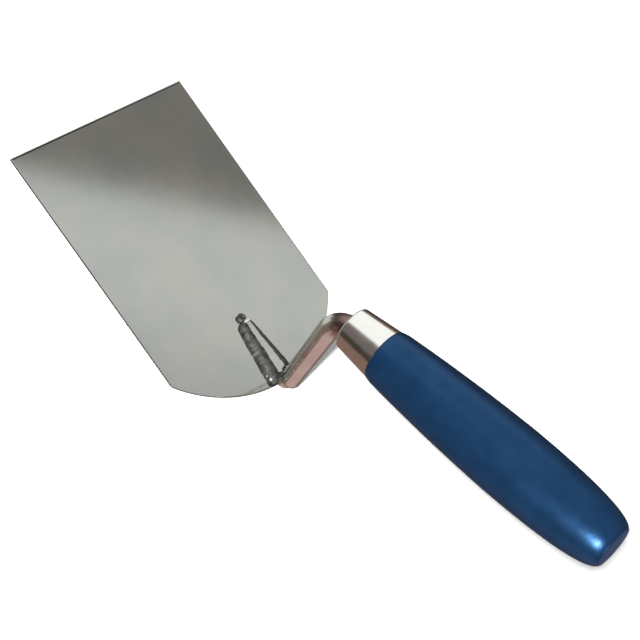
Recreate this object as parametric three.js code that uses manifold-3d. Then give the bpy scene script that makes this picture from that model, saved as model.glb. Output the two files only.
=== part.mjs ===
// A flat-blade plasterer's trowel: a polished blade, a welded and cranked tang, a conical
// ferrule and a turned wooden handle.
// Millimetres, +Z up. The origin is the centre of the blade's flat underside. +X runs from
// the blade's front edge towards the handle, and the trowel is symmetric across y = 0.

import * as THREE from 'three';
import { ConvexGeometry } from 'three/addons/geometries/ConvexGeometry.js';
import { mergeVertices } from 'three/addons/utils/BufferGeometryUtils.js';
import Module from 'manifold-3d';

// Room left between pieces that touch on the real tool
const GAP = 0.3;

// Blade
const BLADE_LENGTH = 140;
const BLADE_FRONT_WIDTH = 99.4;
const BLADE_HEEL_WIDTH = 98.1;
const BLADE_THICKNESS = 0.8;
const HEEL_RADIUS = 64;
const HEEL_CORNER_RADIUS = 2.5;
const BLADE_FRONT_X = -BLADE_LENGTH / 2;

// Tang: a round bar, flattened into a foot at one end and drawn out to a spike at the other
const BAR_RADIUS = 4.5;
const BEND_RADIUS = 13;
const HANDLE_PITCH = THREE.MathUtils.degToRad(21.5);
const SEAT_Z = BLADE_THICKNESS + GAP;
const KNEE = new THREE.Vector2(71, 6.4);
const UPPER_BEND = new THREE.Vector2(64.15, 55.9);
const FERRULE_FROM_BEND = 7.1;
const BAR_END = 14;
const SPIKE_START = 8;
const SPIKE_END = 88;
const SPIKE_END_RADIUS = 1.9;
const SPIKE_SIDES = 4;

// The foot that lies on the blade
const FOOT_TIP_X = 40.4;
const FOOT_TIP = { half: 1.6, top: 3.1 };
const FOOT_HEEL = { half: 4.4, top: 5.1 };
const FOOT_EDGE = 0.5;

// Where the welds run out, and where the foot does, under the knee
const FOOT_HEEL_X = 68.8;
const FOOT_END_X = 71.3;
const FOOT_END = { half: 3.9, top: 3 };

// Welds
const WELD_TIP = { inner: FOOT_TIP.half + GAP, outer: 4, top: 2.8 };
const WELD_HEEL = { inner: BAR_RADIUS + GAP, outer: 8, top: 4.4 };
const WELD_CROWN = 0.3;
const NUGGET = { x: 37.4, radius: 2.6, height: 2.8 };

// Ferrule, with its stations along the handle's axis from its front end
const FERRULE_LENGTH = 18.4;
const FERRULE_WALL = 0.8;
const FERRULE_FRONT_RADIUS = 9.55;
const FERRULE_REAR_RADIUS = 11.5;
const FERRULE_MOUTH_RADIUS = 5.6;
const FERRULE_ROUND = 1;

// Handle, on the same axis. A reach is how far the profile keeps close to its tangent.
const HANDLE_LENGTH = 137;
const SPIGOT_START = FERRULE_WALL + GAP;
const SHOULDER = { start: FERRULE_LENGTH + GAP, radius: 11.75 };
const GRIP_NECK = { station: 21.4, radius: 12.3, slope: 0.085, reach: 34 };
const SWELL = { station: 85, radius: 15.45, reachBack: 3.2, reachOn: 43.7 };
const BUTT = { radius: 8.8, reach: 2.7 };
const BORE = { radius: 5.1, straightTo: 15, end: 90, endRadius: 2.4 };

// Facets
const HEEL_STEPS = 12;
const BAR_SIDES = 10;
const BAR_STEPS = 30;
const KNEE_STEPS = 16;
const NUGGET_SIDES = 24;
const NUGGET_STEPS = 6;
const TURNED_SIDES = 48;
const LIP_STEPS = 4;
const GRIP_STEPS = 12;

// Vertices closer than this are one vertex
const MERGE_DISTANCE = 1e-4;

const wasm = await Module();
wasm.setup();

const neckHeading = UPPER_BEND.clone().sub(KNEE).angle();
const alongHandle = new THREE.Vector3(Math.cos(HANDLE_PITCH), 0, Math.sin(HANDLE_PITCH));

// A point on the handle's axis, at a station measured from the ferrule's front end
function handlePoint(station) {
  const bend = new THREE.Vector3(UPPER_BEND.x, 0, UPPER_BEND.y);
  return bend.addScaledVector(alongHandle, FERRULE_FROM_BEND + station);
}

// Turns the lathe's own axis, +Y, onto the handle's axis
function handleTurn() {
  return new THREE.Quaternion().setFromUnitVectors(new THREE.Vector3(0, 1, 0), alongHandle);
}

function finish(color, roughness, metalness) {
  return new THREE.MeshStandardMaterial({ color, roughness, metalness });
}

const materials = {
  blade: finish(0xb4b8b0, 0.3, 1),
  tang: finish(0x9c8f88, 0.35, 1),
  weld: finish(0x4e4c48, 0.6, 1),
  ferrule: finish(0xc4c4c0, 0.15, 1),
  handle: finish(0x1f4f82, 0.4, 0),
};

function part(name, geometry, material) {
  const mesh = new THREE.Mesh(geometry, material);
  mesh.name = name;
  return mesh;
}

function toSolid(geometry) {
  const bare = geometry.clone();
  bare.deleteAttribute('normal');
  bare.deleteAttribute('uv');
  const merged = mergeVertices(bare, MERGE_DISTANCE);
  return new wasm.Manifold(new wasm.Mesh({
    numProp: 3,
    vertProperties: new Float32Array(merged.attributes.position.array),
    triVerts: new Uint32Array(merged.index.array),
  }));
}

function toGeometry(solid) {
  const mesh = solid.getMesh();
  const geometry = new THREE.BufferGeometry();
  geometry.setAttribute('position', new THREE.BufferAttribute(mesh.vertProperties, 3));
  geometry.setIndex(new THREE.BufferAttribute(mesh.triVerts, 1));
  return geometry;
}

// Centre of the small round that joins a straight side to the heel's arc, on the +Y side
function heelCorner() {
  const start = new THREE.Vector2(BLADE_FRONT_X, BLADE_FRONT_WIDTH / 2);
  const arcCentre = new THREE.Vector2(BLADE_LENGTH / 2 - HEEL_RADIUS, 0);
  const halfHeel = BLADE_HEEL_WIDTH / 2;
  const meetX = arcCentre.x + Math.sqrt(HEEL_RADIUS ** 2 - halfHeel ** 2);
  const side = new THREE.Vector2(meetX, halfHeel).sub(start).normalize();
  const outward = new THREE.Vector2(-side.y, side.x);
  const from = start.addScaledVector(outward, -HEEL_CORNER_RADIUS).sub(arcCentre);
  const reach = HEEL_RADIUS - HEEL_CORNER_RADIUS;
  const along = from.dot(side);
  const run = -along + Math.sqrt(along ** 2 - from.lengthSq() + reach ** 2);
  const centre = from.addScaledVector(side, run).add(arcCentre);
  const arcAngle = centre.clone().sub(arcCentre).angle();
  return { centre, arcCentre, sideAngle: outward.angle(), arcAngle };
}

function bladeGeometry() {
  const { centre, arcCentre, sideAngle, arcAngle } = heelCorner();
  const outline = new THREE.Shape();
  outline.moveTo(BLADE_FRONT_X, BLADE_FRONT_WIDTH / 2);
  outline.lineTo(BLADE_FRONT_X, -BLADE_FRONT_WIDTH / 2);
  outline.absarc(centre.x, -centre.y, HEEL_CORNER_RADIUS, -sideAngle, -arcAngle, false);
  outline.absarc(arcCentre.x, 0, HEEL_RADIUS, -arcAngle, arcAngle, false);
  outline.absarc(centre.x, centre.y, HEEL_CORNER_RADIUS, arcAngle, sideAngle, false);
  outline.closePath();
  return new THREE.ExtrudeGeometry(outline, {
    depth: BLADE_THICKNESS,
    bevelEnabled: false,
    curveSegments: HEEL_STEPS,
  });
}

// A flat curve of x and z, stood up in the plane y = 0
class UprightCurve extends THREE.Curve {
  constructor(flat) {
    super();
    this.flat = flat;
  }

  getPoint(share) {
    const { x, y } = this.flat.getPoint(share);
    return new THREE.Vector3(x, 0, y);
  }
}

// The bar's centre line: up from the knee, round the upper bend and into the handle
function barCurve() {
  const turn = HANDLE_PITCH - neckHeading;
  const toCentre = (neckHeading + HANDLE_PITCH - Math.PI) / 2;
  const reach = BEND_RADIUS / Math.cos(turn / 2);
  const x = UPPER_BEND.x + reach * Math.cos(toCentre);
  const z = UPPER_BEND.y + reach * Math.sin(toCentre);
  const first = neckHeading + Math.PI / 2;
  const last = HANDLE_PITCH + Math.PI / 2;
  const path = new THREE.Path();
  path.moveTo(KNEE.x, KNEE.y);
  path.lineTo(x + BEND_RADIUS * Math.cos(first), z + BEND_RADIUS * Math.sin(first));
  path.absarc(x, z, BEND_RADIUS, first, last, true);
  const end = handlePoint(BAR_END);
  path.lineTo(end.x, end.z);
  return new UprightCurve(path);
}

function barGeometry() {
  const section = new THREE.Shape();
  section.absarc(0, 0, BAR_RADIUS, 0, 2 * Math.PI, false);
  return new THREE.ExtrudeGeometry(section, {
    steps: BAR_STEPS,
    extrudePath: barCurve(),
    curveSegments: BAR_SIDES,
  });
}

// The round end of the neck, which stands in the foot's heel
function kneeGeometry() {
  const knee = new THREE.SphereGeometry(BAR_RADIUS, 2 * KNEE_STEPS, KNEE_STEPS);
  knee.translate(KNEE.x, 0, KNEE.y);
  return knee;
}

// One cross-section of the foot: a flat top with its two edges broken
function footSection(x, { half, top }) {
  const z = SEAT_Z + top;
  return [-1, 1].flatMap((side) => [
    new THREE.Vector3(x, side * half, SEAT_Z),
    new THREE.Vector3(x, side * half, z - FOOT_EDGE),
    new THREE.Vector3(x, side * (half - FOOT_EDGE), z),
  ]);
}

function footGeometry() {
  return new ConvexGeometry([
    ...footSection(FOOT_TIP_X, FOOT_TIP),
    ...footSection(FOOT_HEEL_X, FOOT_HEEL),
    ...footSection(FOOT_END_X, FOOT_END),
  ]);
}

// The square, drawn-out end that is driven into the handle
function spikeGeometry() {
  const length = SPIKE_END - SPIKE_START;
  const middle = handlePoint(SPIKE_START + length / 2);
  const spike = new THREE.CylinderGeometry(SPIKE_END_RADIUS, BAR_RADIUS, length, SPIKE_SIDES);
  spike.applyQuaternion(handleTurn());
  spike.translate(middle.x, middle.y, middle.z);
  return spike;
}

function tangGeometry() {
  const pieces = [barGeometry(), kneeGeometry(), footGeometry(), spikeGeometry()];
  return toGeometry(wasm.Manifold.union(pieces.map(toSolid)));
}

// One cross-section of a fillet weld, on the side of the foot that `side` says
function weldSection(x, side, { inner, outer, top }) {
  const middle = (inner + outer) / 2 + WELD_CROWN;
  return [
    new THREE.Vector3(x, side * inner, SEAT_Z),
    new THREE.Vector3(x, side * outer, SEAT_Z),
    new THREE.Vector3(x, side * middle, SEAT_Z + top / 2 + WELD_CROWN),
    new THREE.Vector3(x, side * inner, SEAT_Z + top),
  ];
}

function weldGeometry(side) {
  return new ConvexGeometry([
    ...weldSection(FOOT_TIP_X, side, WELD_TIP),
    ...weldSection(FOOT_HEEL_X, side, WELD_HEEL),
  ]);
}

function nuggetGeometry() {
  const dome = new THREE.EllipseCurve(0, 0, NUGGET.radius, NUGGET.height, 0, Math.PI / 2);
  const profile = [new THREE.Vector2(0, 0), ...dome.getPoints(NUGGET_STEPS)];
  profile.at(-1).x = 0;
  const geometry = new THREE.LatheGeometry(profile, NUGGET_SIDES);
  geometry.rotateX(Math.PI / 2);
  geometry.translate(NUGGET.x, 0, SEAT_Z);
  return geometry;
}

function ferruleRadius(station) {
  const share = station / FERRULE_LENGTH;
  return THREE.MathUtils.lerp(FERRULE_FRONT_RADIUS, FERRULE_REAR_RADIUS, share);
}

// A drawn cone of even wall, open at the rear, with its front lip turned in to the bar
function ferruleGeometry() {
  const wall = FERRULE_WALL;
  const round = new THREE.EllipseCurve(
    ferruleRadius(FERRULE_ROUND) - FERRULE_ROUND, FERRULE_ROUND,
    FERRULE_ROUND, FERRULE_ROUND, -Math.PI / 2, 0,
  );
  const profile = [
    new THREE.Vector2(FERRULE_MOUTH_RADIUS, 0),
    ...round.getPoints(LIP_STEPS),
    new THREE.Vector2(FERRULE_REAR_RADIUS, FERRULE_LENGTH),
    new THREE.Vector2(FERRULE_REAR_RADIUS - wall, FERRULE_LENGTH),
    new THREE.Vector2(ferruleRadius(wall) - wall, wall),
    new THREE.Vector2(FERRULE_MOUTH_RADIUS, wall),
    new THREE.Vector2(FERRULE_MOUTH_RADIUS, 0),
  ];
  return new THREE.LatheGeometry(profile, TURNED_SIDES);
}

// The grip swells from the shoulder to its thickest place and rounds over to a flat butt
function gripProfile() {
  const { station, radius, slope, reach } = GRIP_NECK;
  const swell = new THREE.Vector2(SWELL.radius, SWELL.station);
  const swelling = new THREE.CubicBezierCurve(
    new THREE.Vector2(radius, station),
    new THREE.Vector2(radius + slope * reach, station + reach),
    new THREE.Vector2(SWELL.radius, SWELL.station - SWELL.reachBack),
    swell,
  );
  const rounding = new THREE.CubicBezierCurve(
    swell,
    new THREE.Vector2(SWELL.radius, SWELL.station + SWELL.reachOn),
    new THREE.Vector2(BUTT.radius + BUTT.reach, HANDLE_LENGTH),
    new THREE.Vector2(BUTT.radius, HANDLE_LENGTH),
  );
  return [...swelling.getPoints(GRIP_STEPS), ...rounding.getPoints(GRIP_STEPS).slice(1)];
}

function handleGeometry() {
  const spigotInset = FERRULE_WALL + GAP;
  const profile = [
    new THREE.Vector2(0, BORE.end),
    new THREE.Vector2(BORE.endRadius, BORE.end),
    new THREE.Vector2(BORE.radius, BORE.straightTo),
    new THREE.Vector2(BORE.radius, SPIGOT_START),
    new THREE.Vector2(ferruleRadius(SPIGOT_START) - spigotInset, SPIGOT_START),
    new THREE.Vector2(ferruleRadius(SHOULDER.start) - spigotInset, SHOULDER.start),
    new THREE.Vector2(SHOULDER.radius, SHOULDER.start),
    ...gripProfile(),
    new THREE.Vector2(0, HANDLE_LENGTH),
  ];
  return new THREE.LatheGeometry(profile, TURNED_SIDES);
}

const grip = new THREE.Group();
grip.position.copy(handlePoint(0));
grip.quaternion.copy(handleTurn());
grip.add(
  part('ferrule', ferruleGeometry(), materials.ferrule),
  part('handle', handleGeometry(), materials.handle),
);

const trowel = new THREE.Group();
trowel.add(
  part('blade', bladeGeometry(), materials.blade),
  part('tang', tangGeometry(), materials.tang),
  part('weld_left', weldGeometry(-1), materials.weld),
  part('weld_right', weldGeometry(1), materials.weld),
  part('weld_tip', nuggetGeometry(), materials.weld),
  grip,
);

export default trowel;
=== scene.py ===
import math

import bmesh
import bpy
from mathutils import Matrix, Quaternion, Vector, noise


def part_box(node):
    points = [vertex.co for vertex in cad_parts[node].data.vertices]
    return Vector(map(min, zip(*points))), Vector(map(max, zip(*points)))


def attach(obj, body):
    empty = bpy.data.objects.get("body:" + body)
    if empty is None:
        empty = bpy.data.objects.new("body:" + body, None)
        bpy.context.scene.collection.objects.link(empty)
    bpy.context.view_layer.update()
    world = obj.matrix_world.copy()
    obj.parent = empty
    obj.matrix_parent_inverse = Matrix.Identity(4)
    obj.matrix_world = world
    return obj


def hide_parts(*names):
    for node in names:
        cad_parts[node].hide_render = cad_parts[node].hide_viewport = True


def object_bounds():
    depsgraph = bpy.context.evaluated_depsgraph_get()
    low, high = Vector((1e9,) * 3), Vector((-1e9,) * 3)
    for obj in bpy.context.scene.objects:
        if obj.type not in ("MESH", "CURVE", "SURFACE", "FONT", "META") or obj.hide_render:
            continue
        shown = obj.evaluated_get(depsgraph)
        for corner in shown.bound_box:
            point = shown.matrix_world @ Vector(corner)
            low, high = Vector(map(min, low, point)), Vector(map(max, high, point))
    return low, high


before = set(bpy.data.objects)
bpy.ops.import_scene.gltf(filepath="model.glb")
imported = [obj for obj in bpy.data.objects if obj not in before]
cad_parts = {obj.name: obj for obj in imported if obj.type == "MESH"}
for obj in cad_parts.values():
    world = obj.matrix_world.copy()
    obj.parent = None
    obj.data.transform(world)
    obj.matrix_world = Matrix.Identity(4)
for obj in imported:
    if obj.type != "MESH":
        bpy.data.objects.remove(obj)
CAD_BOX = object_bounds()

MM = 0.001

# Blade
BLADE_LOW, BLADE_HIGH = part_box("blade")
BLADE_TOP = BLADE_HIGH.z
HEEL_X = BLADE_HIGH.x
FRONT_HALF = BLADE_HIGH.y
HEEL_HALF = 49.05 * MM
HEEL_RADIUS = 64 * MM
HEEL_CORNER = 2.5 * MM
BLADE_ROUND = 0.3 * MM
FRONT_GRIND = 0.5 * MM
FRONT_GRIND_DROP = 0.05 * MM
FLAT_RIM = 0.3 * MM
FRONT_CORNER = 0.6 * MM

# Tang
BAR_RADIUS_LOW = 4.35 * MM
BAR_RADIUS_HIGH = 4.85 * MM
BEND_RADIUS = 13 * MM
KNEE_DROP = 3.7 * MM
KNEE_SQUARE = 2.8
KNEE = Vector((71 * MM, 6.4 * MM))
UPPER_BEND = Vector((64.15 * MM, 55.9 * MM))
HANDLE_PITCH = math.radians(21.5)
FERRULE_FROM_BEND = 7.1 * MM
BAR_END = 14 * MM
SPIKE_START = 8 * MM
SPIKE_END = 88 * MM
SPIKE_HALF = 1.4 * MM

# Foot and welds, with heights above the blade's top face
NOSE_X = 39.0 * MM
NOSE_LENGTH = 1.5 * MM
NOSE_DROP = 0.9 * MM
STRIP_HALF_TIP = 1.15 * MM
STRIP_HALF_HEEL = 2.75 * MM
FOOT_HEIGHT = 3.4 * MM
FOOT_SLOPE = 0.017
FOOT_HEEL_X = 69 * MM
FOOT_EDGE = 0.35 * MM
FLAT_FROM_EDGE = 1.4
PAD_START_X = 64 * MM
PAD_MIDDLE_X = 69.8 * MM
PAD_HALF = 3.75 * MM
PAD_HEIGHT = 3.4 * MM
PAD_EDGE = 0.6 * MM
WELD_LAP = 0.5 * MM
WELD_START_X = 39.2 * MM
WELD_END_X = 70.3 * MM
WELD_CLOSING = {-1: (65.8 * MM, 66.9 * MM), 1: (64.2 * MM, 65.6 * MM)}
WELD_REACH_TIP = 3.9 * MM
WELD_REACH_GAIN = 4.5 * MM
WELD_SUNK = 0.12 * MM
WELD_PROUD = 0.12 * MM
WELD_SWELL = 0.28 * MM
WELD_END_RISE = 0.5 * MM
WELD_KNEE_RISE = 1.4 * MM
WELD_KNEE_X = (65.5 * MM, 68 * MM)
WELD_END_ROUND = 1.6 * MM
WELD_STEPS = 150
WELD_ACROSS = 26
RIPPLE_PITCH = 1.45 * MM
RIPPLE_HEIGHT = 0.008 * MM
# Unevenness, as a height and a size: the upper edge's wander and jags, the toe and the skin
UPPER_WANDER = (0.18 * MM, 3.5 * MM)
UPPER_JAG = (0.16 * MM, 0.9 * MM)
TOE_WANDER = (0.25 * MM, 3 * MM)
SKIN_ROUGH = (0.06 * MM, 1.9 * MM)
NUGGET_ROUGH = (0.14 * MM, 1.2 * MM)
# Spatter lumps: x, distance from the middle, radius, height
HEEL_LUMPS = (
    (64.3 * MM, 7.1 * MM, 0.6 * MM, 0.4 * MM),
    (66.4 * MM, 6.4 * MM, 0.6 * MM, 0.5 * MM),
)
NUGGET_X = 37.6 * MM
NUGGET_Y = 0.3 * MM
NUGGET_RADIUS = 2.4 * MM
NUGGET_HEIGHT = 2.0 * MM
NUGGET_CRATER = 0.75 * MM
NUGGET_SUNK = 0.1 * MM

# Ferrule and handle, by stations along their axis from the ferrule's front end
FERRULE_LENGTH = 18.4 * MM
FERRULE_WALL = 0.8 * MM
FERRULE_FRONT = 9.55 * MM
FERRULE_REAR = 11.5 * MM
FERRULE_MOUTH = 5.6 * MM
FERRULE_LIP = 1.1 * MM
FERRULE_MOUTH_ROUND = 0.3 * MM
FERRULE_RIM = 0.03 * MM
HANDLE_LENGTH = 137 * MM
SHOULDER_RADIUS = 11.75 * MM
SHOULDER_ROUND = 0.5 * MM
SHOULDER_GAP = 0.12 * MM
SPIGOT_START = 0.4 * MM
SPIGOT_GAP = 0.05 * MM
SPIGOT_TAPER = 0.4 * MM
GRIP_NECK = (12.3 * MM, 21.4 * MM)
GRIP_NECK_SLOPE = 0.085
GRIP_NECK_REACH = 34 * MM
SWELL = (15.45 * MM, 85 * MM)
SWELL_REACH_BACK = 3.2 * MM
SWELL_REACH_ON = 43.7 * MM
BUTT_RADIUS = 9.3 * MM
BUTT_REACH = 1.9 * MM
BUTT_REACH_BACK = 1.7 * MM
BUTT_EDGE = 0.35 * MM
BUTT_DOME = 0.05 * MM
AXIS_GAP = 0.01 * MM

# Tones, as the lower and the higher end of each material's clouding
BLADE_TONES = ((0.60, 0.635, 0.615), (0.685, 0.685, 0.65))
# Painted shade: the edge tone is partly the sheared edges' own dark and partly a painted shadow line
# along the blade's edge.
SHEARED_EDGE_AND_SHADE_TONE = (0.045, 0.045, 0.042)
WARM_TONES = ((0.68, 0.645, 0.615), (0.78, 0.74, 0.71))
BARE_TONES = ((0.78, 0.78, 0.74), (0.88, 0.87, 0.83))
# A darker brown patch at the upper bend.
BEND_DARK_TONE = (0.30, 0.20, 0.18)
SCALE_TONES = ((0.028, 0.029, 0.026), (0.10, 0.10, 0.09))
# A lighter band along the beads; on the tip's crown it is a painted highlight.
RUN_AND_CROWN_HIGHLIGHT_TONE = (0.14, 0.14, 0.13)
# Painted highlight on the spatter lumps.
LUMP_HIGHLIGHT_TONE = (0.38, 0.41, 0.44)
FERRULE_TONES = ((0.80, 0.79, 0.76), (0.88, 0.87, 0.84))
LACQUER_TONES = ((0.0068, 0.035, 0.096), (0.011, 0.049, 0.126))
LACQUER_SHEEN = (0.6, 0.78, 1.0)

# Where the tones change: the blade's edges by the way they face, the rest by place
EDGE_UPRIGHT = (0.7, 0.985)
EDGE_FORWARD = (-0.6, -0.2)
FRONT_EDGE_SHARE = 0.45
BARE_END_X = (66 * MM, 67 * MM)
BARE_HEIGHT = (5 * MM, 6 * MM)
BEND_DARK_PLACE = Vector((68, -2.5, 58.5)) * MM
BEND_DARK_REACH = (3.5 * MM, 7 * MM)
BEND_DARK_WANDER = 2.5 * MM
RUN_HEIGHTS = (1.5 * MM, 2.9 * MM)
RUN_SOFT = 0.6 * MM
RUN_DRIFT = 0.4 * MM
RIGHT_RUN_Y = (1.5 * MM, 0.3 * MM)
RIGHT_RUN_END_X = (63 * MM, 64.5 * MM)
LUMP_HIGHLIGHT_HEIGHT = 1.6 * MM

# Facets
TURNED_SIDES = 128
BAR_SIDES = 64
NUGGET_SIDES = 48
NUGGET_STEPS = 18
SHARP_ANGLE = math.radians(38)


def grip_matrix():
    """Places a turned piece's own frame, with its axis along local Z, on the handle's axis."""
    axis = Vector((math.cos(HANDLE_PITCH), 0, math.sin(HANDLE_PITCH)))
    start = Vector((UPPER_BEND.x, 0, UPPER_BEND.y)) + axis * FERRULE_FROM_BEND
    turn = Vector((0, 0, 1)).rotation_difference(axis)
    return Matrix.Translation(start) @ turn.to_matrix().to_4x4()


GRIP = grip_matrix()


# Mesh helpers

def lerp(low, high, share):
    return low + (high - low) * share


def smooth_step(low, high, value):
    share = min(1.0, max(0.0, (value - low) / (high - low)))
    return share * share * (3 - 2 * share)


def bezier(points, steps):
    """Points on a cubic curve, both ends included."""
    p, q, r, s = (Vector(point) for point in points)
    curve = []
    for step in range(steps + 1):
        t = step / steps
        u = 1 - t
        curve.append(p * u ** 3 + q * 3 * u * u * t + r * 3 * u * t * t + s * t ** 3)
    return curve


def round_corner(centre, radius, start, end, steps):
    """Points on an arc, from one angle in degrees to another."""
    points = []
    for step in range(steps + 1):
        angle = math.radians(lerp(start, end, step / steps))
        out = Vector((math.cos(angle), math.sin(angle)))
        points.append(Vector((centre[0] + radius * out.x, centre[1] + radius * out.y)))
    return points


def mark_sharp(mesh):
    """Smooth shading with sharp edges where the faces turn by more than SHARP_ANGLE."""
    work = bmesh.new()
    work.from_mesh(mesh)
    bmesh.ops.recalc_face_normals(work, faces=work.faces)
    for face in work.faces:
        face.smooth = True
    for edge in work.edges:
        edge.smooth = len(edge.link_faces) == 2 and edge.calc_face_angle() < SHARP_ANGLE
    work.to_mesh(mesh)
    work.free()


def add_piece(name, mesh, material, slot, *nodes):
    """A shown piece that stands for its CAD nodes and rides on the one body."""
    piece = bpy.data.objects.new(name, mesh)
    bpy.context.scene.collection.objects.link(piece)
    mesh.materials.clear()
    mesh.materials.append(material)
    mark_sharp(mesh)
    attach(piece, "root")
    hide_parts(*nodes)


def mesh_of_rings(name, rings, closed=False):
    """A skin over rings of points. An open run of rings is capped at both ends."""
    work = bmesh.new()
    loops = [[work.verts.new(point) for point in ring] for ring in rings]
    pairs = list(zip(loops, loops[1:] + (loops[:1] if closed else [])))
    for low, high in pairs:
        count = len(low)
        for i in range(count):
            j = (i + 1) % count
            work.faces.new((low[i], low[j], high[j], high[i]))
    if not closed:
        work.faces.new(reversed(loops[0]))
        work.faces.new(loops[-1])
    mesh = bpy.data.meshes.new(name)
    work.to_mesh(mesh)
    work.free()
    return mesh


def turned_mesh(name, profile, closed=False):
    """A solid of revolution on the handle's axis, from (radius, station) points."""
    rings = []
    for radius, station in profile:
        ring = []
        for side in range(TURNED_SIDES):
            angle = 2 * math.pi * side / TURNED_SIDES
            place = Vector((radius * math.cos(angle), radius * math.sin(angle), station))
            ring.append(GRIP @ place)
        rings.append(ring)
    return mesh_of_rings(name, rings, closed)


def joined(name, base, others):
    """The mesh of closed meshes joined into one."""
    made = [bpy.data.objects.new("work", mesh) for mesh in (base, *others)]
    for thing in made:
        bpy.context.scene.collection.objects.link(thing)
    for other in made[1:]:
        step = made[0].modifiers.new("join", "BOOLEAN")
        step.operation = "UNION"
        step.solver = "EXACT"
        step.object = other
    graph = bpy.context.evaluated_depsgraph_get()
    mesh = bpy.data.meshes.new_from_object(made[0].evaluated_get(graph))
    mesh.name = name
    for thing in made:
        bpy.data.objects.remove(thing)
    return mesh


# Blade

def blade_outline():
    """The blade seen from above, counter-clockwise."""
    arc_x = HEEL_X - HEEL_RADIUS
    front = Vector((BLADE_LOW.x, FRONT_HALF))
    meet = Vector((arc_x + math.sqrt(HEEL_RADIUS ** 2 - HEEL_HALF ** 2), HEEL_HALF))
    along = (meet - front).normalized()
    outward = Vector((-along.y, along.x))
    start = front - outward * HEEL_CORNER - Vector((arc_x, 0))
    reach = HEEL_RADIUS - HEEL_CORNER
    middle = start.dot(along)
    run = -middle + math.sqrt(middle ** 2 - start.length_squared + reach ** 2)
    corner = start + along * run
    arc_angle = math.degrees(math.atan2(corner.y, corner.x))
    side_angle = math.degrees(math.atan2(outward.y, outward.x))
    corner = corner + Vector((arc_x, 0))
    upper = round_corner((arc_x, 0), HEEL_RADIUS, 0, arc_angle, 60)
    upper += round_corner(corner, HEEL_CORNER, arc_angle, side_angle, 10)[1:]
    tight = front + Vector((FRONT_CORNER, -FRONT_CORNER))
    upper += round_corner(tight, FRONT_CORNER, side_angle, 180, 6)
    lower = [Vector((point.x, -point.y)) for point in reversed(upper[1:])]
    return lower + upper


def blade_mesh():
    """A thin sheet with rounded edges, its front edge ground on the upper side."""
    outline = blade_outline()
    count = len(outline)
    outward = []
    for i, point in enumerate(outline):
        chord = outline[(i + 1) % count] - outline[i - 1]
        outward.append(Vector((chord.y, -chord.x)).normalized())
    thick = BLADE_TOP - BLADE_LOW.z
    section = [(BLADE_ROUND + FLAT_RIM, 0), (BLADE_ROUND, 0)]
    for step in range(1, 6):
        angle = math.radians(90 * step / 5)
        section.append((BLADE_ROUND * (1 - math.sin(angle)), BLADE_ROUND * (1 - math.cos(angle))))
    section += [(inset, thick - height) for inset, height in reversed(section)]
    rings = []
    for inset, height in section:
        ring = []
        for point, out in zip(outline, outward):
            front = out.x < -0.5
            top = height > thick / 2
            ground = FRONT_GRIND - BLADE_ROUND if front and top and inset > BLADE_ROUND else 0
            drop = FRONT_GRIND_DROP if front and top and inset <= BLADE_ROUND else 0
            place = point - out * (inset + ground)
            ring.append(Vector((place.x, place.y, BLADE_LOW.z + height - drop)))
        rings.append(ring)
    rim = [point - Vector((out.x, out.y, 0)) * FLAT_RIM for point, out in zip(rings[-1], outward)]
    rings.append(rim)
    return mesh_of_rings("blade", rings)


# Tang

def bar_path():
    """The bar's centre line above the knee as (x, z) points, and the heading at each."""
    rise = UPPER_BEND - KNEE
    neck = math.atan2(rise.y, rise.x)
    turn = HANDLE_PITCH - neck
    to_centre = Vector((math.sin(neck), -math.cos(neck))) * BEND_RADIUS
    tangent = BEND_RADIUS * math.tan(abs(turn) / 2)
    start = UPPER_BEND - rise.normalized() * tangent
    points = [(KNEE.lerp(start, step / 8), neck) for step in range(8)]
    for step in range(33):
        angle = lerp(neck, HANDLE_PITCH, step / 32)
        out = Vector((-math.sin(angle), math.cos(angle))) * BEND_RADIUS
        points.append((start + to_centre + out, angle))
    return points


def circle_ring(centre, heading, radius):
    """A round cross-section in the plane across a heading in the plane y = 0."""
    up = Vector((-math.sin(heading), 0, math.cos(heading)))
    across = Vector((0, 1, 0))
    middle = Vector((centre.x, 0, centre.y))
    ring = []
    for side in range(BAR_SIDES):
        angle = 2 * math.pi * side / BAR_SIDES
        ring.append(middle + (up * math.cos(angle) + across * math.sin(angle)) * radius)
    return ring


def bar_mesh():
    """The round bar, from its ball-shaped lower end to the square spike."""
    path = bar_path()
    neck = path[0][1]
    along = Vector((math.cos(neck), math.sin(neck)))
    rings = []
    for step in range(1, 16):
        angle = math.radians(90 * step / 16)
        share = math.cos(angle) ** 0.9
        radius = BAR_RADIUS_LOW * (1 - share ** KNEE_SQUARE) ** (1 / KNEE_SQUARE)
        rings.append(circle_ring(KNEE - along * KNEE_DROP * share, neck, radius))
    for place, heading in path:
        share = min(1.0, (place.y - KNEE.y) / (UPPER_BEND.y - KNEE.y - BEND_RADIUS / 2))
        rings.append(circle_ring(place, heading, lerp(BAR_RADIUS_LOW, BAR_RADIUS_HIGH, share)))
    end = GRIP @ Vector((0, 0, BAR_END))
    rings.append(circle_ring(Vector((end.x, end.z)), HANDLE_PITCH, BAR_RADIUS_HIGH))
    return mesh_of_rings("bar", rings)


def foot_top(x):
    """Height of the foot's flat top above the blade."""
    nose = max(0.0, 1 - (x - NOSE_X) / NOSE_LENGTH)
    return FOOT_HEIGHT + FOOT_SLOPE * (x - NOSE_X) - NOSE_DROP * nose ** 2


def strip_half(x):
    """Half the width of the foot's flat top between the welds."""
    share = max(0.0, (x - NOSE_X) / (FOOT_HEEL_X - NOSE_X))
    return lerp(STRIP_HALF_TIP, STRIP_HALF_HEEL, share ** 1.5)


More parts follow.
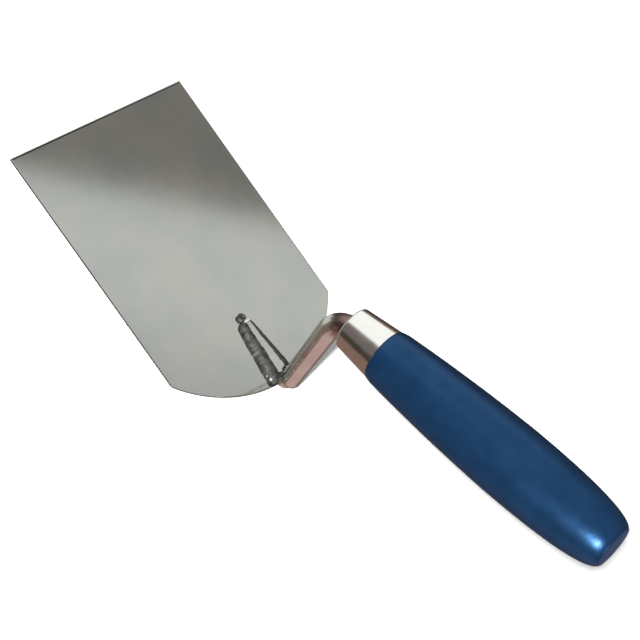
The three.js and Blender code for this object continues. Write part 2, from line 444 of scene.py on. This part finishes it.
def foot_section(x, half, top, bite):
    """The foot cut across: upright sides, rounded upper edges and a flat top."""
    ring = [Vector((x, -half, BLADE_TOP)), Vector((x, -half, top - bite))]
    for angle in (22, 45, 68):
        turn = math.radians(angle)
        y = -half + bite * (1 - math.cos(turn))
        ring.append(Vector((x, y, top - bite * (1 - math.sin(turn)))))
    ring.append(Vector((x, -half + bite, top)))
    ring.append(Vector((x, -half + bite * FLAT_FROM_EDGE, top)))
    return ring + [Vector((p.x, -p.y, p.z)) for p in reversed(ring)]


def foot_mesh():
    """The flattened end of the bar, with a round nose and a flat top."""
    stations = [NOSE_X + NOSE_LENGTH * (1 - math.cos(math.radians(a))) for a in range(6, 91, 12)]
    stations += [lerp(NOSE_X + NOSE_LENGTH, FOOT_HEEL_X, i / 24) for i in range(1, 25)]
    rings = []
    for x in stations:
        nose = min(1.0, (x - NOSE_X) / NOSE_LENGTH)
        half = (strip_half(max(x, NOSE_X)) + WELD_LAP) * math.sqrt(max(0.0, 1 - (1 - nose) ** 2))
        rings.append(foot_section(x, half, BLADE_TOP + foot_top(x), min(FOOT_EDGE, half * 0.6)))
    return mesh_of_rings("foot", rings)


def pad_mesh():
    """The foot's wider, rounded end under the knee, which the welds lap onto."""
    rings = [foot_section(PAD_START_X, PAD_HALF, BLADE_TOP + PAD_HEIGHT, PAD_EDGE)]
    for step in range(19):
        angle = math.radians(86 * step / 18)
        x = PAD_MIDDLE_X + PAD_HALF * math.sin(angle)
        half = PAD_HALF * math.cos(angle)
        bite = min(PAD_EDGE, half * 0.6)
        rings.append(foot_section(x, half, BLADE_TOP + PAD_HEIGHT - (PAD_EDGE - bite), bite))
    return mesh_of_rings("pad", rings)


def spike_mesh():
    """The square, drawn-out end inside the handle."""
    rings = []
    for station, half in ((SPIKE_START, BAR_RADIUS_HIGH * 0.7), (SPIKE_END, SPIKE_HALF)):
        ring = []
        for x, y in ((-half, -half), (half, -half), (half, half), (-half, half)):
            ring.append(GRIP @ Vector((x, y, station)))
        rings.append(ring)
    return mesh_of_rings("spike", rings)


def tang_mesh():
    """Foot, bar and spike as one forged piece."""
    return joined("tang", bar_mesh(), [foot_mesh(), pad_mesh(), spike_mesh()])


# Welds

def fractal(place, size, octaves=4):
    """Steady noise from about -1 to 1, with features of the given size."""
    return noise.fractal(place / size, 0.6, 2.1, octaves)


def uneven(place, kind):
    height, size = kind
    return height * fractal(place, size)


def ripple(x, y, seed):
    """The crescents that the arc leaves behind, highest at each crest."""
    bow = 0.35 * (y / (4 * MM)) ** 2
    drift = 0.6 * fractal(Vector((x, seed, 0)), 6 * MM, 2)
    phase = x / RIPPLE_PITCH - bow + drift
    return 1 - 2 * abs(phase - math.floor(phase) - 0.5) * 2


def weld_reach(x):
    """How far out on the blade the weld's toe lies from the middle."""
    share = max(0.0, (x - WELD_START_X) / (WELD_END_X - WELD_START_X))
    return WELD_REACH_TIP + WELD_REACH_GAIN * share ** 0.72


def lump_height(x, y, lumps):
    """Height that the spatter lumps add at a point."""
    total = 0
    for lump_x, lump_y, radius, lift in lumps:
        near = math.hypot(x - lump_x, y - lump_y) / radius
        if near < 1:
            total += lift * math.sqrt(1 - near * near)
    return total


def weld_ring(x, side, lumps):
    """The weld cut across: from its upper edge on the foot down to its toe on the blade."""
    seed = 3.0 + side
    closing = smooth_step(*WELD_CLOSING[side], x)
    from_end = min(x - WELD_START_X, WELD_END_X - x)
    ends = math.sqrt(min(1.0, from_end / WELD_END_ROUND + 0.02))
    jag = uneven(Vector((x, 0, -seed * MM)), UPPER_JAG) * (1 - closing)
    inner = strip_half(x) + uneven(Vector((x, seed * MM, 0)), UPPER_WANDER)
    inner *= 1 - 0.97 * closing
    outer = lerp(inner, weld_reach(x), ends) + uneven(Vector((x, 0, seed * MM)), TOE_WANDER)
    height = (foot_top(x) + WELD_PROUD) * lerp(0.55, 1, ends)
    knee_rise = closing * (WELD_END_RISE + WELD_KNEE_RISE * smooth_step(*WELD_KNEE_X, x))
    sunk = BLADE_TOP - WELD_SUNK
    ring = [Vector((x, side * (inner + jag), sunk))]
    for j in range(WELD_ACROSS + 1):
        share = j / WELD_ACROSS
        y = lerp(inner, outer, share) + jag * (1 - smooth_step(0, 0.25, share))
        rise = height * (1 - share ** 1.35)
        rough = uneven(Vector((x, side * y, rise)), SKIN_ROUGH)
        skin = math.sin(math.pi * min(1.0, share * 1.02))
        rise += RIPPLE_HEIGHT * ripple(x, y - inner, seed) * (0.25 + 0.75 * skin) * ends
        rise += rough * (0.3 + 0.7 * skin)
        rise += WELD_SWELL * math.sin(math.pi * share)
        rise += knee_rise * (1 - share)
        rise += lump_height(x, y, lumps)
        if j == WELD_ACROSS:
            rise = 0
        ring.append(Vector((x, side * y, BLADE_TOP + max(rise, 0))))
    ring.append(Vector((x, side * outer, sunk)))
    return ring


def weld_mesh(name, side, lumps):
    """One fillet weld from the foot's top edge down to the blade, with ripples and lumps."""
    stations = [lerp(WELD_START_X, WELD_END_X, i / WELD_STEPS) for i in range(WELD_STEPS + 1)]
    return mesh_of_rings(name, [weld_ring(x, side, lumps) for x in stations])


def nugget_mesh():
    """The blob at the foot's nose where the arc was struck, with a small crater."""
    rings = []
    for step in range(NUGGET_STEPS + 1):
        share = step / NUGGET_STEPS
        ring = []
        for side in range(NUGGET_SIDES):
            angle = 2 * math.pi * side / NUGGET_SIDES
            lobes = 0.07 * math.sin(3 * angle + 1) + 0.05 * math.sin(5 * angle)
            reach = NUGGET_RADIUS * (1 + lobes)
            out = max(share, 0.02)
            height = NUGGET_HEIGHT * math.sqrt(max(0.0, 1 - share ** 2.6))
            crater = NUGGET_CRATER * math.exp(-((share - 0.08) / 0.3) ** 2)
            x = NUGGET_X + reach * out * math.cos(angle)
            y = NUGGET_Y + reach * out * math.sin(angle)
            rough = uneven(Vector((x, y, 0)), NUGGET_ROUGH) * (1 - share)
            ring.append(Vector((x, y, BLADE_TOP + height - crater + rough)))
        rings.append(ring)
    rings.append([Vector((p.x, p.y, BLADE_TOP - NUGGET_SUNK)) for p in rings[-1]])
    return mesh_of_rings("weld_tip", rings)


# Ferrule and handle

def ferrule_radius(station):
    return lerp(FERRULE_FRONT, FERRULE_REAR, station / FERRULE_LENGTH)


def ferrule_mesh():
    """A conical tube with a rounded front lip that turns in to the bar."""
    lip_centre = (ferrule_radius(FERRULE_LIP) - FERRULE_LIP, FERRULE_LIP)
    lip = round_corner(lip_centre, FERRULE_LIP, -90, 0, 10)
    last = FERRULE_LENGTH - FERRULE_RIM * 4
    stations = (FERRULE_LIP + 0.1 * MM, 4 * MM, 8 * MM, 12 * MM, 16 * MM, last)
    outside = [Vector((ferrule_radius(station), station)) for station in stations]
    rim_centre = (FERRULE_REAR - FERRULE_RIM, FERRULE_LENGTH - FERRULE_RIM)
    rim = round_corner(rim_centre, FERRULE_RIM, 0, 90, 5)
    inside = [
        Vector((FERRULE_REAR - FERRULE_WALL, FERRULE_LENGTH)),
        Vector((ferrule_radius(FERRULE_WALL * 2) - FERRULE_WALL, FERRULE_WALL * 2)),
        Vector((ferrule_radius(FERRULE_WALL) - FERRULE_WALL * 2, FERRULE_WALL)),
        Vector((FERRULE_MOUTH, FERRULE_WALL)),
    ]
    mouth_centre = (FERRULE_MOUTH + FERRULE_MOUTH_ROUND, FERRULE_MOUTH_ROUND)
    mouth = round_corner(mouth_centre, FERRULE_MOUTH_ROUND, 180, 270, 4)
    return turned_mesh("ferrule", mouth + lip + outside + rim + inside, closed=True)


def grip_profile():
    """The grip's swelling outline, from its neck to the butt's edge."""
    neck = Vector(GRIP_NECK)
    swell = Vector(SWELL)
    front = (
        neck,
        neck + Vector((GRIP_NECK_SLOPE, 1)) * GRIP_NECK_REACH,
        swell - Vector((0, SWELL_REACH_BACK)),
        swell,
    )
    back = (
        swell,
        swell + Vector((0, SWELL_REACH_ON)),
        Vector((BUTT_RADIUS + BUTT_REACH, HANDLE_LENGTH - BUTT_REACH_BACK)),
        Vector((BUTT_RADIUS, HANDLE_LENGTH - BUTT_EDGE)),
    )
    return bezier(front, 40) + bezier(back, 48)[1:]


def handle_mesh():
    """The turned handle: a spigot in the ferrule, a square shoulder, the grip and the butt."""
    inset = FERRULE_WALL + SPIGOT_GAP
    start = FERRULE_WALL + SPIGOT_START
    shoulder = FERRULE_LENGTH + SHOULDER_GAP
    shoulder_centre = (SHOULDER_RADIUS - SHOULDER_ROUND, shoulder + SHOULDER_ROUND)
    butt_centre = (BUTT_RADIUS - BUTT_EDGE, HANDLE_LENGTH - BUTT_EDGE)
    profile = [
        Vector((AXIS_GAP, start)),
        Vector((ferrule_radius(start) - inset - SPIGOT_TAPER, start)),
        Vector((ferrule_radius(shoulder) - inset, shoulder)),
    ]
    profile += round_corner(shoulder_centre, SHOULDER_ROUND, -90, -10, 5)
    profile += grip_profile()
    profile += round_corner(butt_centre, BUTT_EDGE, 20, 85, 5)[1:]
    profile += [
        Vector((BUTT_RADIUS * 0.5, HANDLE_LENGTH + BUTT_DOME)),
        Vector((AXIS_GAP, HANDLE_LENGTH + BUTT_DOME)),
    ]
    return turned_mesh("handle", profile)


# Materials

class Nodes:
    """Short ways to add nodes to a tree."""

    def __init__(self, tree):
        self.tree = tree

    def set(self, socket, value):
        """Links a socket to another, or gives it a number or a colour."""
        if isinstance(value, bpy.types.NodeSocket):
            self.tree.links.new(value, socket)
        elif socket.type == "RGBA":
            socket.default_value = (*value, 1)
        else:
            socket.default_value = value

    def add(self, kind, inputs=None, **settings):
        made = self.tree.nodes.new("ShaderNode" + kind)
        for key, value in settings.items():
            setattr(made, key, value)
        for key, value in (inputs or {}).items():
            self.set(made.inputs[key], value)
        return made

    def noise(self, vector, scale, detail=3.0, roughness=0.5):
        inputs = {"Vector": vector, "Scale": scale, "Detail": detail, "Roughness": roughness}
        return self.add("TexNoise", inputs).outputs["Fac"]

    def ramp(self, value, low, high, start=0.0, end=1.0, kind="LINEAR"):
        inputs = {"Value": value, "From Min": low, "From Max": high, "To Min": start, "To Max": end}
        return self.add("MapRange", inputs, interpolation_type=kind).outputs["Result"]

    def ease(self, value, middle, soft):
        """0 below the middle and 1 above it, with a soft change between."""
        return self.ramp(value, middle - soft, middle + soft, kind="SMOOTHSTEP")

    def band(self, value, low, high, soft):
        """1 between two values and 0 outside them, with soft changes."""
        above = self.ease(value, low, soft)
        below = self.ramp(value, high - soft, high + soft, 1, 0, "SMOOTHSTEP")
        return self.math("MULTIPLY", above, below)

    def blend(self, share, first, second):
        made = self.add("Mix", {0: share, 6: first, 7: second}, data_type="RGBA")
        return made.outputs[2]

    def math(self, operation, first, second=0.0):
        return self.add("Math", {0: first, 1: second}, operation=operation).outputs[0]

    def distance(self, first, second):
        made = self.add("VectorMath", {0: first, 1: second}, operation="DISTANCE")
        return made.outputs["Value"]

    def dot(self, first, second):
        made = self.add("VectorMath", {0: first, 1: second}, operation="DOT_PRODUCT")
        return made.outputs["Value"]


class Paint(Nodes):
    """A principled material."""

    def __init__(self, name, **uniform):
        self.material = bpy.data.materials.new(name)
        self.material.use_nodes = True
        super().__init__(self.material.node_tree)
        self.shader = self.tree.nodes["Principled BSDF"]
        self.feed(**uniform)

    def feed(self, **values):
        for name, value in values.items():
            self.set(self.shader.inputs[name.replace("_", " ")], value)

    def place(self, rotation=(0, 0, 0), scale=(1, 1, 1)):
        """Object coordinates in metres, turned and scaled."""
        coordinates = self.add("TexCoord").outputs["Object"]
        inputs = {"Vector": coordinates, "Rotation": rotation, "Scale": scale}
        return self.add("Mapping", inputs).outputs["Vector"]

    def bump(self, height, distance):
        made = self.add("Bump", {"Height": height, "Distance": distance, "Strength": 1.0})
        self.feed(Normal=made.outputs["Normal"])


def blade_steel():
    """Polished faces with faint clouding and fine grinding marks, and dark edge faces: partly the
    sheared edges' own dark, partly painted shade for a shadow line along the edge.
    """
    paint = Paint("blade_steel", Metallic=1.0)
    grain = paint.noise(paint.place(scale=(60, 2200, 60)), 1.0, 4)
    cloud = paint.noise(paint.place(), 34.0, 3, 0.5)
    tone = paint.blend(paint.ramp(cloud, 0.35, 0.65), *BLADE_TONES)
    facing = paint.add("SeparateXYZ", {0: paint.add("NewGeometry").outputs["Normal"]}).outputs
    # Painted shade: edge faces darkened, partly the sheared edge's own dark, partly a painted shadow
    # line along the edge.
    edge = paint.ramp(paint.math("ABSOLUTE", facing["Z"]), *EDGE_UPRIGHT, 1, 0)
    edge = paint.math("MULTIPLY", edge, paint.ramp(facing["X"], *EDGE_FORWARD, FRONT_EDGE_SHARE, 1))
    polish = paint.ramp(cloud, 0.3, 0.7, 0.06, 0.075)
    gloss = paint.math("ADD", polish, paint.ramp(grain, 0.3, 0.7, -0.01, 0.01))
    paint.feed(
        Base_Color=paint.blend(edge, tone, SHEARED_EDGE_AND_SHADE_TONE),
        Roughness=paint.math("ADD", gloss, paint.math("MULTIPLY", edge, 0.3)),
    )
    paint.bump(paint.noise(paint.place(), 11.0, 1.0), 0.03 * MM)
    return paint.material


def tang_steel():
    """A bare, bright foot, a warm-tinted bar and a darker brown patch at its upper bend."""
    paint = Paint("tang_steel", Metallic=1.0)
    place = paint.place()
    along = paint.add("SeparateXYZ", {0: place}).outputs
    cloud = paint.noise(place, 160.0, 4)
    cloudy = paint.ramp(cloud, 0.3, 0.7)
    foot = paint.ramp(along["X"], *BARE_END_X, 1, 0)
    low = paint.ramp(along["Z"], BLADE_TOP + BARE_HEIGHT[0], BLADE_TOP + BARE_HEIGHT[1], 1, 0)
    warm = paint.blend(cloudy, *WARM_TONES)
    bare = paint.blend(cloudy, *BARE_TONES)
    tone = paint.blend(paint.math("MULTIPLY", foot, low), warm, bare)
    # Darker brown around the upper bend, with a wandering edge.
    spread = paint.ramp(paint.noise(place, 420.0, 4, 0.6), 0.3, 0.7, -BEND_DARK_WANDER, BEND_DARK_WANDER)
    away = paint.math("ADD", paint.distance(place, BEND_DARK_PLACE), spread)
    bend_dark = paint.ramp(away, *BEND_DARK_REACH, 1, 0, "SMOOTHSTEP")
    gloss = paint.ramp(cloud, 0.3, 0.7, 0.16, 0.26)
    paint.feed(
        Base_Color=paint.blend(bend_dark, tone, BEND_DARK_TONE),
        Roughness=paint.math("ADD", gloss, paint.math("MULTIPLY", bend_dark, 0.15)),
    )
    paint.bump(paint.noise(place, 700.0, 3), 0.02 * MM)
    return paint.material


def weld_metal():
    """Dark scale, with a lighter band along each bead and a painted highlight on the tip's crown, and
    painted highlights on the spatter lumps.
    """
    paint = Paint("weld_metal", Metallic=0.85)
    place = paint.place()
    x, y, z = paint.add("SeparateXYZ", {0: place}).outputs
    cloud = paint.noise(place, 420.0, 4, 0.6)
    drift = paint.ramp(paint.noise(place, 260.0, 2), 0.3, 0.7, -RUN_DRIFT, RUN_DRIFT)
    low, high = (BLADE_TOP + height for height in RUN_HEIGHTS)
    # A lighter band along each bead and the far weld; where it crosses the tip's crown it is a
    # painted highlight.
    run = paint.band(paint.math("ADD", z, drift), low, high, RUN_SOFT)
    beyond = paint.ease(y, *RIGHT_RUN_Y)
    right = paint.math("MULTIPLY", beyond, paint.ramp(x, *RIGHT_RUN_END_X, 1, 0))
    run = paint.math("MAXIMUM", run, right)
    run = paint.math("MULTIPLY", run, paint.ramp(cloud, 0.35, 0.6, 0.35, 1.0))
    tone = paint.blend(run, paint.blend(paint.ramp(cloud, 0.35, 0.7), *SCALE_TONES), RUN_AND_CROWN_HIGHLIGHT_TONE)
    # Painted highlights: a lighter tone on the spatter lumps.
    for highlight_x, highlight_y, radius, _ in HEEL_LUMPS:
        away = paint.distance(place, Vector((highlight_x, -highlight_y, BLADE_TOP + LUMP_HIGHLIGHT_HEIGHT)))
        lump_highlight = paint.ramp(away, radius * 0.8, radius * 1.5, 1, 0)
        tone = paint.blend(lump_highlight, tone, LUMP_HIGHLIGHT_TONE)
    paint.feed(Base_Color=tone, Roughness=paint.ramp(cloud, 0.3, 0.7, 0.68, 0.52))
    paint.bump(paint.noise(place, 1500.0, 4, 0.6), 0.04 * MM)
    return paint.material


def ferrule_steel():
    """Bright drawn metal with faint clouding."""
    paint = Paint("ferrule_steel", Metallic=1.0)
    cloud = paint.noise(paint.place(), 240.0, 4)
    paint.feed(
        Base_Color=paint.blend(paint.ramp(cloud, 0.3, 0.7), *FERRULE_TONES),
        Roughness=paint.ramp(cloud, 0.3, 0.7, 0.12, 0.2),
    )
    paint.bump(cloud, 0.02 * MM)
    return paint.material


def handle_paint():
    """Blue lacquer with a metallic sheen over fine turning marks."""
    paint = Paint(
        "handle_paint",
        Metallic=0.66,
        Specular_Tint=LACQUER_SHEEN,
        Coat_Weight=0.03,
        Coat_Roughness=0.16,
    )
    cloud = paint.noise(paint.place(), 70.0, 5, 0.6)
    paint.feed(
        Base_Color=paint.blend(paint.ramp(cloud, 0.3, 0.7), *LACQUER_TONES),
        Roughness=paint.ramp(cloud, 0.3, 0.7, 0.29, 0.37),
    )
    across = paint.place(rotation=(0, HANDLE_PITCH, 0), scale=(5, 0.6, 0.6))
    paint.bump(paint.noise(across, 420.0, 4, 0.6), 0.06 * MM)
    return paint.material


# Studio

# Camera, with its angles in degrees and its lens and sensor in millimetres
CAMERA_AZIMUTH = 6.73
CAMERA_ELEVATION = 50.85
CAMERA_ROLL = 49.3
CAMERA_DISTANCE = 725.8 * MM
CAMERA_LENS = 101.25
CAMERA_SENSOR = 36
AIM_OFFSET = Vector((-4.69, -7.2, -5.49)) * MM

# Floor
FLOOR_LOW = (0.88, 0.88, 0.88)
FLOOR_HIGH = (0.91, 0.91, 0.91)
FLOOR_FAR = (0.97, 0.97, 0.97)
FLOOR_FADE = (0.40, 1.0)
FLOOR_HALF = 4.0
FLOOR_DEPTHS = (2 * MM, 0.1 * MM)

# Radiances of the room, 1 being white
DOME = (0.30, 0.30, 0.30)
WALL = (0.235, 0.222, 0.208)
CEILING = (0.71, 0.709, 0.692)
NEAR_WALL = (0.16, 0.14, 0.135)
NEAR_FLOOR = (0.235, 0.150, 0.122)
FAR_FLOOR = (0.060, 0.050, 0.038)

# Parts of the room: radiance, then azimuths, lifts and the softness of both edges in degrees
BACK_WALL = ((0.20, 0.135, 0.115), (-36, -7), (-40, 17), (5, 5))
GLOW = ((0.68, 0.80, 0.88), (100, 190), (-4, 50), (12, 12))
SIDE_WALL = ((0.40, 0.41, 0.38), (-124, -36), (44.5, 74), (4, 2))
BEHIND = ((0.30, 0.235, 0.215), (-190, 190), (34, 78), (5, 5))
WINDOW = ((1.12, 1.14, 1.12), (-120, -29), (6, 44.5), (5, 2))
PINK_FLOOR = ((0.58, 0.42, 0.395), (62, 166), (-61, -30), (6, 4))
BACK_FLOOR = ((0.28, 0.27, 0.38), (14, 56), (-42, -25), (6, 2))

# Borders in the room, in degrees: a middle and a softness, or a start and an end
HORIZON = (-7, 4)
FLOOR_BORDER = (-31, 4)
NEAR_RIGHT = (128, 12)
NEAR_LEFT = (-116, -140)
CEILING_LIFT = (34, 8)
CEILING_EDGE = (0, 0.45)
CEILING_SHADE_FROM = 3.0
CEILING_SHADE_TO = 6.2
CEILING_SHADE = 0.75
GLOW_FULL = 0.5

# Two directions on the border between wall and ceiling
CEILING_BORDER = ((201.4, 53.2), (193.29, 50.34))

# Lights: name, direction, distance, size, power and the surfaces that they reach
LIGHTS = (
    ("key", (0.2, 50.2), 1.0, (0.05, 0.05), 20, "matt"),
    ("soft", (-50, 42), 2.2, (1.6, 1.6), 6, "matt"),
    ("spot", (30, 26), 1.2, (0.12, 0.4), 22, "glossy"),
)


def direction(azimuth, elevation):
    """Points from the object out into the room. Azimuth 0 is -Y, and 90 is +X, in degrees."""
    turn, lift = math.radians(azimuth), math.radians(elevation)
    flat = math.cos(lift)
    return Vector((math.sin(turn) * flat, -math.cos(turn) * flat, math.sin(lift)))


def add_camera():
    middle = (CAD_BOX[0] + CAD_BOX[1]) / 2
    back = direction(CAMERA_AZIMUTH, CAMERA_ELEVATION)
    camera = bpy.data.objects.new("camera", bpy.data.cameras.new("camera"))
    camera.data.lens = CAMERA_LENS
    camera.data.sensor_width = CAMERA_SENSOR
    camera.rotation_mode = "QUATERNION"
    camera.location = middle + AIM_OFFSET + back * CAMERA_DISTANCE
    level = (-back).to_track_quat("-Z", "Y")
    camera.rotation_quaternion = level @ Quaternion((0, 0, 1), math.radians(CAMERA_ROLL))
    bpy.context.scene.collection.objects.link(camera)
    bpy.context.scene.camera = camera


def floor_material():
    """Plain and pale, with the faintest clouding, and fading to an even white far from the tool."""
    material = bpy.data.materials.new("floor")
    material.use_nodes = True
    material.cycles.emission_sampling = "NONE"
    nodes = Nodes(material.node_tree)
    nodes.tree.nodes.clear()
    place = nodes.add("NewGeometry").outputs["Position"]
    tone = nodes.blend(nodes.noise(place, 3.0), FLOOR_LOW, FLOOR_HIGH)
    pale = nodes.add("BsdfDiffuse", {"Color": tone}).outputs[0]
    white = nodes.add("Emission", {"Color": FLOOR_FAR}).outputs[0]
    away = nodes.add("VectorMath", {0: place}, operation="LENGTH").outputs["Value"]
    far = nodes.ramp(away, *FLOOR_FADE, kind="SMOOTHSTEP")
    mixed = nodes.add("MixShader", {0: far, 1: pale, 2: white}).outputs[0]
    nodes.add("OutputMaterial", {"Surface": mixed})
    return material


def add_floor():
    corners = ((-1, -1), (1, -1), (1, 1), (-1, 1))
    rings = []
    for depth in FLOOR_DEPTHS:
        z = BLADE_LOW.z - depth
        rings.append([Vector((x * FLOOR_HALF, y * FLOOR_HALF, z)) for x, y in corners])
    floor = bpy.data.objects.new("floor", mesh_of_rings("floor", rings))
    bpy.context.scene.collection.objects.link(floor)
    floor.data.materials.append(floor_material())
    floor.visible_glossy = False


def add_light(name, towards, distance, size, power, shown_to):
    """An oblong light that faces the object and reaches matt or glossy surfaces only."""
    data = bpy.data.lights.new(name, "AREA")
    data.shape = "RECTANGLE"
    data.size, data.size_y = size
    data.energy = power
    light = bpy.data.objects.new(name, data)
    light.location = (CAD_BOX[0] + CAD_BOX[1]) / 2 + towards * distance
    light.rotation_mode = "QUATERNION"
    light.rotation_quaternion = (-towards).to_track_quat("-Z", "Y")
    light.visible_glossy = shown_to == "glossy"
    light.visible_diffuse = shown_to == "matt"
    light.visible_camera = False
    bpy.context.scene.collection.objects.link(light)


def add_lights():
    for name, towards, distance, size, power, shown_to in LIGHTS:
        add_light(name, direction(*towards), distance, size, power, shown_to)


def ceiling_normal():
    """Square to the border between wall and ceiling, and upward."""
    left, right = (direction(*towards) for towards in CEILING_BORDER)
    normal = left.cross(right).normalized()
    return normal if normal.z > 0 else -normal


def room_tone(nodes):
    """What glossy surfaces see: a pale ceiling, a window to the left, walls and a warm floor."""
    deg = math.radians
    towards = nodes.add("TexCoord").outputs["Generated"]
    x, y, z = nodes.add("SeparateXYZ", {0: towards}).outputs
    azimuth = nodes.math("ARCTAN2", x, y)
    lift = nodes.math("ARCSINE", z)
    over = nodes.dot(towards, ceiling_normal())
    fore = nodes.dot(towards, GRIP.to_3x3() @ Vector((0, 0, 1)))

    def border(value, place):
        return nodes.ease(value, deg(place[0]), deg(place[1]))

    def patch(tone, part, shown=1.0):
        """Paints a part of the room over the tone."""
        colour, azimuths, lifts, soft = part
        across = nodes.band(azimuth, deg(azimuths[0]), deg(azimuths[1]), deg(soft[0]))
        up = nodes.band(lift, deg(lifts[0]), deg(lifts[1]), deg(soft[1]))
        share = nodes.math("MULTIPLY", nodes.math("MULTIPLY", across, up), shown)
        return nodes.blend(share, tone, colour)

    left = nodes.ramp(azimuth, deg(NEAR_LEFT[0]), deg(NEAR_LEFT[1]), kind="SMOOTHSTEP")
    near = nodes.math("MAXIMUM", border(azimuth, NEAR_RIGHT), left)
    tone = nodes.blend(near, WALL, NEAR_WALL)
    tone = patch(tone, BACK_WALL)
    tone = patch(tone, GLOW, nodes.ramp(fore, 0.0, GLOW_FULL))

    low, high = (math.sin(deg(angle)) for angle in (CEILING_SHADE_FROM, CEILING_SHADE_TO))
    shade = nodes.ramp(over, low, high, 1.0, CEILING_SHADE)
    ceiling = nodes.add("VectorMath", {0: CEILING, "Scale": shade}, operation="SCALE")
    share = nodes.math("MULTIPLY", border(over, CEILING_EDGE), border(lift, CEILING_LIFT))
    tone = nodes.blend(share, tone, ceiling.outputs["Vector"])
    tone = patch(tone, SIDE_WALL)
    tone = patch(tone, BEHIND, near)
    tone = patch(tone, WINDOW)

    floor = nodes.blend(border(lift, FLOOR_BORDER), NEAR_FLOOR, FAR_FLOOR)
    floor = patch(floor, PINK_FLOOR)
    floor = patch(floor, BACK_FLOOR)
    return nodes.blend(border(lift, HORIZON), floor, tone)


def add_world():
    world = bpy.data.worlds.new("studio")
    bpy.context.scene.world = world
    world.use_nodes = True
    world.cycles.sampling_method = "NONE"
    nodes = Nodes(world.node_tree)
    nodes.tree.nodes.clear()
    path = nodes.add("LightPath").outputs
    tone = nodes.blend(path["Is Glossy Ray"], DOME, room_tone(nodes))
    tone = nodes.blend(path["Is Camera Ray"], tone, (1, 1, 1))
    lit = nodes.add("Background", {"Color": tone}).outputs[0]
    nodes.add("OutputWorld", {"Surface": lit})


add_camera()
add_piece("trowel_blade", blade_mesh(), blade_steel(), "blade_steel", "blade")
add_piece("trowel_tang", tang_mesh(), tang_steel(), "tang_steel", "tang")
WELD = weld_metal()
add_piece("trowel_weld_left", weld_mesh("weld_left", -1, HEEL_LUMPS), WELD, "weld_metal", "weld_left")
add_piece("trowel_weld_right", weld_mesh("weld_right", 1, []), WELD, "weld_metal", "weld_right")
add_piece("trowel_weld_tip", nugget_mesh(), WELD, "weld_metal", "weld_tip")
add_piece("trowel_ferrule", ferrule_mesh(), ferrule_steel(), "ferrule_steel", "ferrule")
add_piece("trowel_handle", handle_mesh(), handle_paint(), "handle_paint", "handle")
add_floor()
add_lights()
add_world()
bpy.context.scene.view_settings.view_transform = "Standard"
